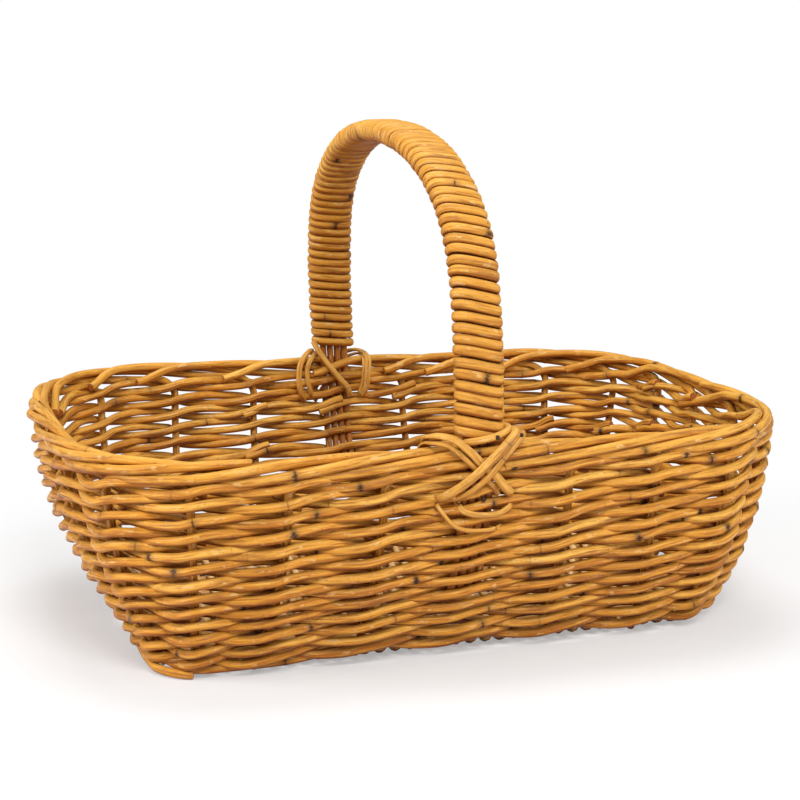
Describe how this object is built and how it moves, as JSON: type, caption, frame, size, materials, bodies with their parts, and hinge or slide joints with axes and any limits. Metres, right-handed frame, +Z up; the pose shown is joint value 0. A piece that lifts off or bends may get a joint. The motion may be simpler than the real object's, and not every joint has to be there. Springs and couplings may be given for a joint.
{
  "type": "oblong cane market basket",
  "caption": "Oblong open basket of whole cane with flared walls in pairing weave, a rolled border and a fixed arched handle with a wound grip.",
  "frame": {"origin": "middle of the underside, on the surface that the basket stands on", "axes": "+X along the long side, +Y from the front long side to the back one, +Z up"},
  "size_m": [0.4788, 0.3614, 0.3377],
  "materials": {
    "base_stick": "satin round cane, orange brown",
    "base_cane": "satin round cane, shaded gold",
    "stake_cane": "satin round cane, dark orange",
    "weaver_cane": "satin round cane, honey gold with dark nodes",
    "core_cane": "satin round cane, reddish brown",
    "wrap_cane": "light satin gloss, honey gold",
    "lashing_cane": "light satin gloss, honey gold"
  },
  "bodies": {
    "root": {"base_stick_1": "base_stick", "base_stick_2": "base_stick", "base_stick_3": "base_stick", "base_stick_4": "base_stick", "base_stick_5": "base_stick", "base_stick_6": "base_stick", "base_stick_7": "base_stick", "base_weaver": "base_cane", "stake_01": "stake_cane", "stake_02": "stake_cane", "stake_03": "stake_cane", "stake_04": "stake_cane", "stake_05": "stake_cane", "stake_06": "stake_cane", "stake_07": "stake_cane", "stake_08": "stake_cane", "stake_09": "stake_cane", "stake_10": "stake_cane", "stake_11": "stake_cane", "stake_12": "stake_cane", "stake_13": "stake_cane", "stake_14": "stake_cane", "stake_15": "stake_cane", "stake_16": "stake_cane", "stake_17": "stake_cane", "stake_18": "stake_cane", "stake_19": "stake_cane", "stake_20": "stake_cane", "stake_21": "stake_cane", "stake_22": "stake_cane", "border_filler_front": "stake_cane", "border_filler_back": "stake_cane", "side_weaver_a1": "weaver_cane", "side_weaver_a2": "weaver_cane", "side_weaver_a3": "weaver_cane", "side_weaver_a4": "weaver_cane", "side_weaver_a5": "weaver_cane", "side_weaver_b1": "weaver_cane", "side_weaver_b2": "weaver_cane", "side_weaver_b3": "weaver_cane", "side_weaver_b4": "weaver_cane", "side_weaver_b5": "weaver_cane", "handle_core_1": "core_cane", "handle_core_2": "core_cane", "handle_core_3": "core_cane", "handle_core_4": "core_cane", "handle_wrap_1": "wrap_cane", "handle_wrap_2": "wrap_cane", "handle_wrap_3": "wrap_cane", "handle_wrap_4": "wrap_cane", "lashing_front_a": "lashing_cane", "lashing_front_b": "lashing_cane", "lashing_back_a": "lashing_cane", "lashing_back_b": "lashing_cane"}
  },
  "joints": []
}
